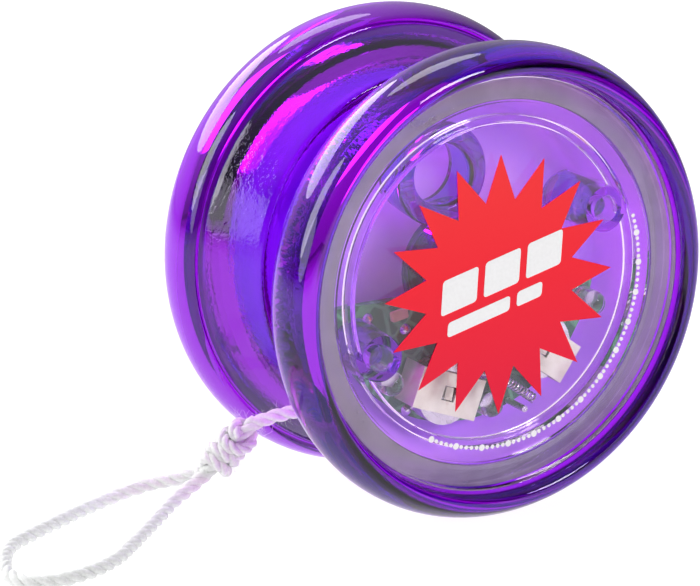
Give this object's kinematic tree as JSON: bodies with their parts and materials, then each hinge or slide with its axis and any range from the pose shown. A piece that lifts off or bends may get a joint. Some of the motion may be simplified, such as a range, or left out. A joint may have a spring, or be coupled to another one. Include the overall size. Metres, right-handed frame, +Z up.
{
  "type": "light-up yo-yo",
  "caption": "Flared translucent yo-yo with a lit circuit under a clear cap in each half, free-running axle sleeve, wound string and knotted finger loop.",
  "frame": {"origin": "on the floor under the middle of the yo-yo, which stands on its two rims", "axes": "+Z up; the axle lies along Y, with the front half towards -Y and the rear half towards +Y; the finger loop lies towards -X"},
  "size_m": [0.0888, 0.0344, 0.0569],
  "materials": {
    "purple_plastic": "clear violet moulded plastic, polished",
    "clear_plastic": "clear lilac moulded plastic, polished",
    "label": "printed red sticker with white shapes, satin",
    "board": "green solder mask",
    "nickel": "nickel-plated spring sheet",
    "steel": "bright zinc-plated steel",
    "led": "clear epoxy",
    "sleeve": "white acetal",
    "string": "white twisted cotton"
  },
  "bodies": {
    "string": {"bearing_sleeve": "sleeve", "string_winding": "string", "string_lead": "string", "loop_knot": "string", "finger_loop": "string"},
    "yo_yo": {"axle": "steel", "front_shell": "purple_plastic", "front_cap": "clear_plastic", "front_label": "label", "front_circuit_board": "board", "front_button_cell_1": "steel", "front_button_cell_2": "steel", "front_battery_clip_1": "nickel", "front_battery_clip_2": "nickel", "front_led_1": "led", "front_led_2": "led", "front_led_3": "led", "front_switch_spring": "steel", "front_spring_post": "steel", "front_contact_pin": "steel", "front_axle_nut": "steel", "rear_shell": "purple_plastic", "rear_cap": "clear_plastic", "rear_label": "label", "rear_circuit_board": "board", "rear_button_cell_1": "steel", "rear_button_cell_2": "steel", "rear_battery_clip_1": "nickel", "rear_battery_clip_2": "nickel", "rear_led_1": "led", "rear_led_2": "led", "rear_led_3": "led", "rear_switch_spring": "steel", "rear_spring_post": "steel", "rear_contact_pin": "steel", "rear_axle_nut": "steel"}
  },
  "joints": [
    {"name": "spin", "type": "hinge", "parent": "string", "child": "yo_yo", "pos_m": [0, 0, 0.02844], "axis": [0, 1, 0], "continuous": true}
  ]
}
